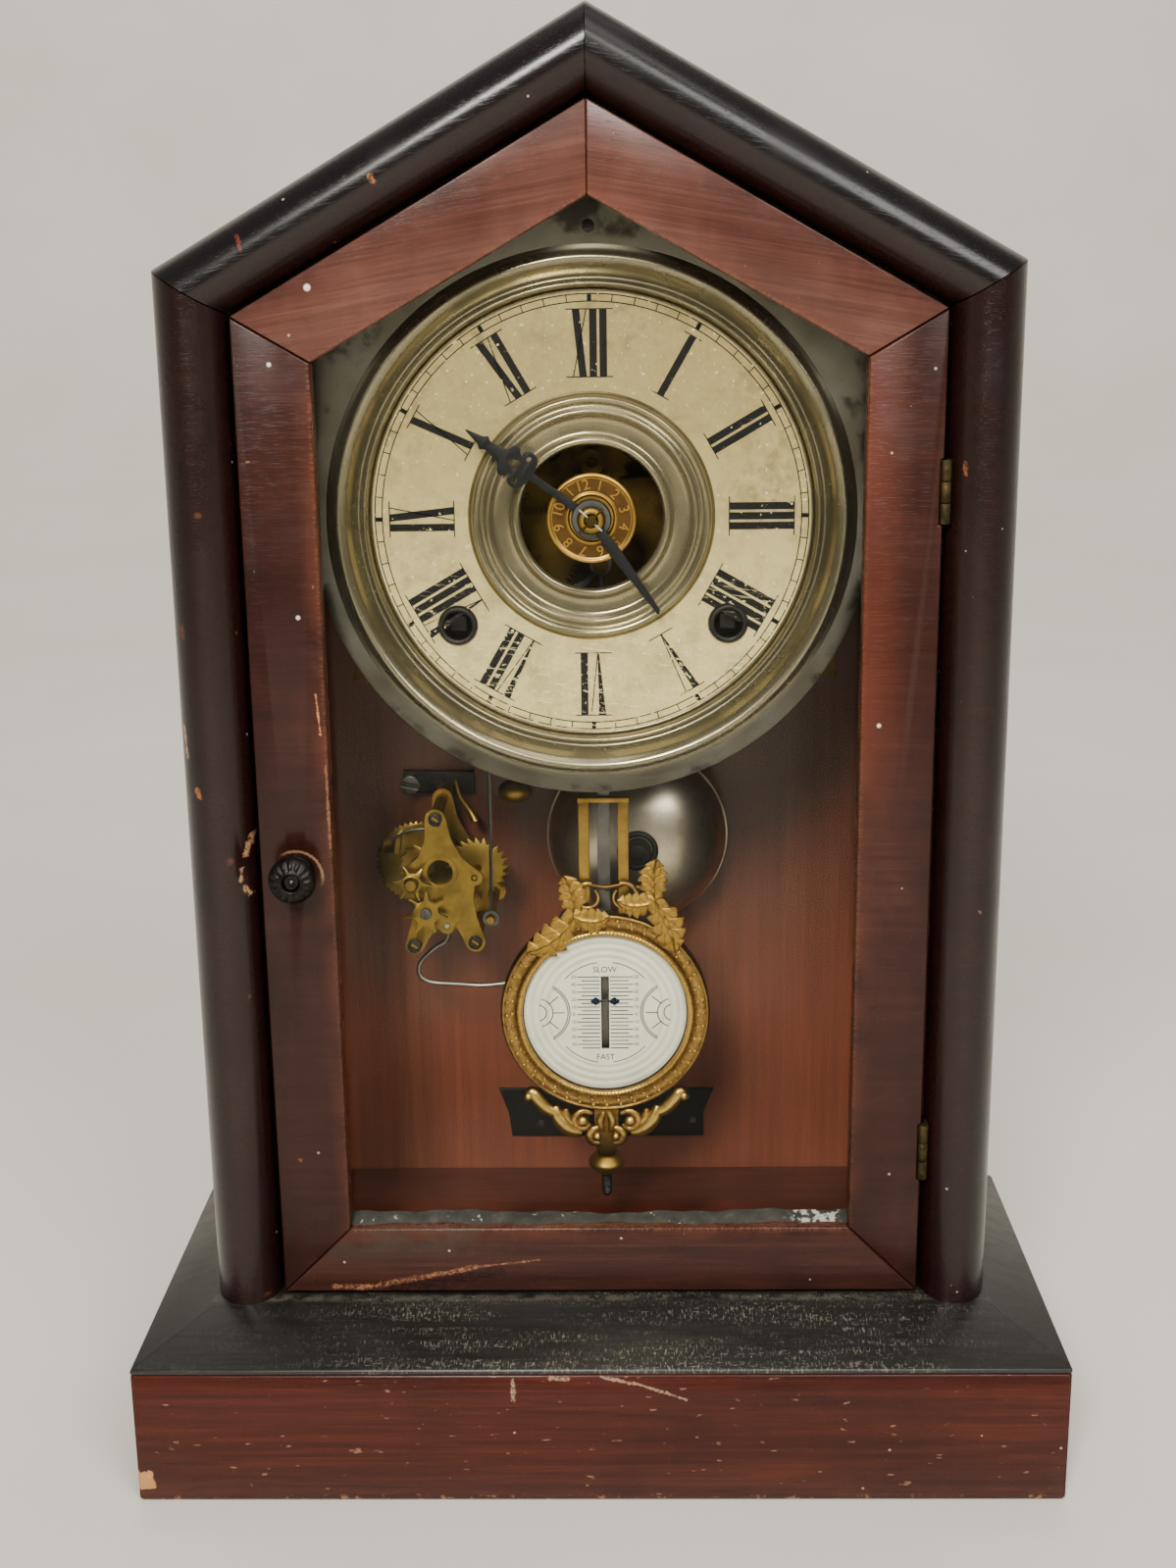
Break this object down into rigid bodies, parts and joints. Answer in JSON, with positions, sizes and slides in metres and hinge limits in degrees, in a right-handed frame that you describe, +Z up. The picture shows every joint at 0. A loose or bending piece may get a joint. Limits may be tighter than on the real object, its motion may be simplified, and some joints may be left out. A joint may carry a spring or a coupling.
{
  "type": "shelf clock",
  "caption": "Gabled wooden shelf clock with a glazed door, pressed dial, hands, alarm disc, pendulum with regulating bob, bell, and open strike and alarm movements.",
  "frame": {"origin": "on the shelf, under the middle of the base", "axes": "+Z up, the dial faces -Y, +X to the right as the dial is read"},
  "size_m": [0.27, 0.122, 0.413],
  "materials": {
    "mahogany": "dark red-brown shellac with age marks",
    "ebonised_wood": "blackened, glossy, finely crackled",
    "back_wood": "red-brown stained board",
    "glass": "clear old glass",
    "brass": "aged brass",
    "gilt": "worn gilding",
    "dial_paper": "aged cream print",
    "steel": "dull steel",
    "blued_steel": "blackened steel",
    "bell_metal": "dark tarnished nickel"
  },
  "bodies": {
    "case": {"plinth_front": "mahogany", "plinth_left": "mahogany", "plinth_right": "mahogany", "base_top": "ebonised_wood", "side_left": "mahogany", "side_right": "mahogany", "roof_left": "mahogany", "roof_right": "mahogany", "back_board": "back_wood", "moulding_left": "ebonised_wood", "moulding_right": "ebonised_wood", "moulding_rake_left": "ebonised_wood", "moulding_rake_right": "ebonised_wood", "hinge_upper_case": "brass", "hinge_lower_case": "brass", "dial_pan": "gilt", "dial_paper": "dial_paper", "front_plate": "brass", "back_plate": "brass", "time_mainspring": "steel", "strike_mainspring": "steel", "bell": "bell_metal", "bell_post": "steel", "alarm_front_plate": "brass", "alarm_back_plate": "brass"},
    "door": {"door_stile_left": "mahogany", "door_stile_right": "mahogany", "door_rail": "mahogany", "door_rake_left": "mahogany", "door_rake_right": "mahogany", "door_glass": "glass", "hinge_upper_door": "brass", "hinge_lower_door": "brass"},
    "latch": {"door_knob": "bell_metal", "latch_hook": "brass"},
    "pendulum": {"pendulum_rod": "steel"},
    "bob": {"bob_body": "gilt", "bob_glass": "glass"},
    "nut": {"rating_nut": "brass"},
    "verge": {"verge": "steel"},
    "third": {"third_wheel": "brass"},
    "centre": {"centre_wheel": "brass", "minute_hand": "blued_steel"},
    "second": {"second_wheel": "brass"},
    "time_great": {"time_great_wheel": "brass"},
    "escape": {"escape_wheel": "brass"},
    "minute_work": {"minute_wheel": "brass"},
    "hour": {"hour_wheel": "brass", "hour_hand": "blued_steel"},
    "alarm_setting": {"alarm_disc": "gilt"},
    "time_winder": {"time_winding_arbor": "steel"},
    "strike_winder": {"strike_winding_arbor": "steel"},
    "strike_great": {"strike_great_wheel": "brass"},
    "hammer": {"strike_hammer": "brass"},
    "alarm_great": {"alarm_great_wheel": "brass"},
    "alarm_escape": {"alarm_escape_wheel": "brass"},
    "alarm_winder": {"alarm_winding_arbor": "steel"},
    "alarm_stop": {"alarm_stop_star": "steel"},
    "alarm_striker": {"alarm_hammer": "steel"},
    "alarm_trip": {"alarm_trip_wire": "steel"}
  },
  "joints": [
    {"name": "door_hinge", "type": "hinge", "parent": "case", "child": "door", "pos_m": [0.0951, -0.0314, 0], "axis": [0, 0, 1], "range_deg": [0, 110]},
    {"name": "latch_turn", "type": "hinge", "parent": "door", "child": "latch", "pos_m": [-0.08415, -0.025, 0.1833], "axis": [0, 1, 0], "range_deg": [-90, 0]},
    {"name": "pendulum_swing", "type": "hinge", "parent": "case", "child": "pendulum", "pos_m": [0.0022, 0.004, 0.2644], "axis": [0, 1, 0], "range_deg": [-4, 4]},
    {"name": "verge_rock", "type": "hinge", "parent": "case", "child": "verge", "pos_m": [0.0022, 0.007, 0.2644], "axis": [0, 1, 0], "range_deg": [-4, 4]},
    {"name": "bob_slide", "type": "slide", "parent": "pendulum", "child": "bob", "axis": [0, 0, 1], "range_m": [-0.004, 0.004]},
    {"name": "nut_turn", "type": "hinge", "parent": "bob", "child": "nut", "pos_m": [0.0022, 0.0038, 0.076], "axis": [0, 0, 1], "range_deg": [-1810, 1810]},
    {"name": "third_turn", "type": "hinge", "parent": "case", "child": "third", "pos_m": [-0.01938, 0.024, 0.28406], "axis": [0, -1, 0], "continuous": true},
    {"name": "minute_turn", "type": "hinge", "parent": "case", "child": "centre", "pos_m": [0, 0.02, 0.28], "axis": [0, 1, 0], "continuous": true},
    {"name": "second_turn", "type": "hinge", "parent": "case", "child": "second", "pos_m": [0.02099, 0.037, 0.27199], "axis": [0, -1, 0], "continuous": true},
    {"name": "time_great_turn", "type": "hinge", "parent": "case", "child": "time_great", "pos_m": [0.0383, 0.033, 0.2498], "axis": [0, 1, 0], "continuous": true},
    {"name": "escape_turn", "type": "hinge", "parent": "case", "child": "escape", "pos_m": [-0.01682, 0.006, 0.26776], "axis": [0, 1, 0], "continuous": true},
    {"name": "minute_work_turn", "type": "hinge", "parent": "case", "child": "minute_work", "pos_m": [0, 0.007, 0.29404], "axis": [0, -1, 0], "continuous": true},
    {"name": "hour_turn", "type": "hinge", "parent": "case", "child": "hour", "pos_m": [0, 0.003, 0.28], "axis": [0, 1, 0], "continuous": true},
    {"name": "alarm_set", "type": "hinge", "parent": "hour", "child": "alarm_setting", "pos_m": [0, -0.014, 0.28], "axis": [0, 1, 0], "continuous": true},
    {"name": "time_wind", "type": "hinge", "parent": "case", "child": "time_winder", "pos_m": [0.0383, 0.02, 0.2498], "axis": [0, 1, 0], "range_deg": [0, 1800]},
    {"name": "strike_wind", "type": "hinge", "parent": "case", "child": "strike_winder", "pos_m": [-0.0383, 0.02, 0.2498], "axis": [0, 1, 0], "range_deg": [0, 1800]},
    {"name": "strike_great_turn", "type": "hinge", "parent": "case", "child": "strike_great", "pos_m": [-0.0383, 0.033, 0.2498], "axis": [0, 1, 0], "continuous": true},
    {"name": "strike_hammer_swing", "type": "hinge", "parent": "case", "child": "hammer", "pos_m": [-0.014, 0.038, 0.238], "axis": [0, -1, 0], "range_deg": [0, 9], "stiffness_Nm_per_rad": 0.02, "springref_deg": -5.73},
    {"name": "alarm_great_turn", "type": "hinge", "parent": "case", "child": "alarm_great", "pos_m": [-0.0573, 0.037, 0.165], "axis": [0, 1, 0], "continuous": true},
    {"name": "alarm_escape_turn", "type": "hinge", "parent": "case", "child": "alarm_escape", "pos_m": [-0.0381, 0.027, 0.1657], "axis": [0, -1, 0], "continuous": true},
    {"name": "alarm_wind", "type": "hinge", "parent": "case", "child": "alarm_winder", "pos_m": [-0.0573, 0.02, 0.165], "axis": [0, 1, 0], "range_deg": [0, 1440]},
    {"name": "alarm_stop_turn", "type": "hinge", "parent": "case", "child": "alarm_stop", "pos_m": [-0.0531, 0.014, 0.1554], "axis": [0, -1, 0], "range_deg": [0, 1260]},
    {"name": "alarm_hammer_swing", "type": "hinge", "parent": "case", "child": "alarm_striker", "pos_m": [-0.0471, 0.031, 0.15], "axis": [0, -1, 0], "range_deg": [0, 9]},
    {"name": "alarm_trip_lean", "type": "hinge", "parent": "case", "child": "alarm_trip", "pos_m": [-0.0331, 0.015, 0.1532], "axis": [0, 1, 0], "range_deg": [0, 3], "stiffness_Nm_per_rad": 0.005, "springref_deg": -5.73}
  ],
  "couplings": [
    {"joint": "verge_rock", "follows": "pendulum_swing", "ratio": 1},
    {"joint": "nut_turn", "follows": "bob_slide", "rad_per_m": 7854},
    {"joint": "minute_turn", "follows": "third_turn", "ratio": 0.1},
    {"joint": "escape_turn", "follows": "third_turn", "ratio": 10},
    {"joint": "second_turn", "follows": "third_turn", "ratio": 0.016667},
    {"joint": "time_great_turn", "follows": "third_turn", "ratio": 0.0027778},
    {"joint": "minute_work_turn", "follows": "third_turn", "ratio": 0.033333},
    {"joint": "hour_turn", "follows": "third_turn", "ratio": 0.0083333},
    {"joint": "alarm_escape_turn", "follows": "alarm_great_turn", "ratio": 2.3},
    {"joint": "alarm_stop_turn", "follows": "alarm_wind", "ratio": 0.85714}
  ]
}
